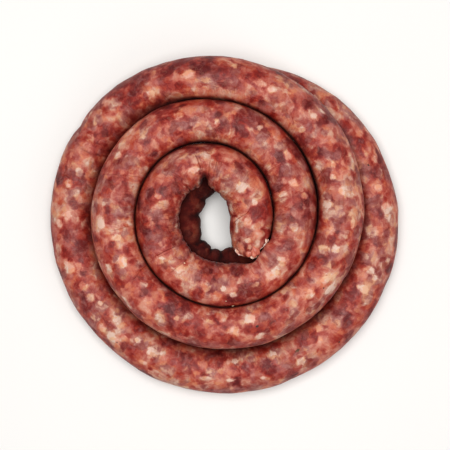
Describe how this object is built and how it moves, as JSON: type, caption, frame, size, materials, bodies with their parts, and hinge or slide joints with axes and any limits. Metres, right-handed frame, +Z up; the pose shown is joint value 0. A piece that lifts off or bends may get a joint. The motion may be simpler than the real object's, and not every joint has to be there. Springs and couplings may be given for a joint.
{
  "type": "coiled rope sausage",
  "caption": "Long raw rope sausage of coarse pork in natural casing, wound without links into a flat two-level spiral with a small open middle and blunt cut ends.",
  "frame": {"origin": "on the table, under the middle of the coil's bounding box", "axes": "+Z up; +X to the right of the picture and +Y to its top, as the coil is seen from straight above"},
  "size_m": [0.214, 0.2049, 0.051],
  "materials": {
    "sausage": "raw coarse pork seen through a moist, thin natural casing: red-brown lean and cream fat, softly glossy"
  },
  "bodies": {
    "root": {"sausage_coil": "sausage"}
  },
  "joints": []
}
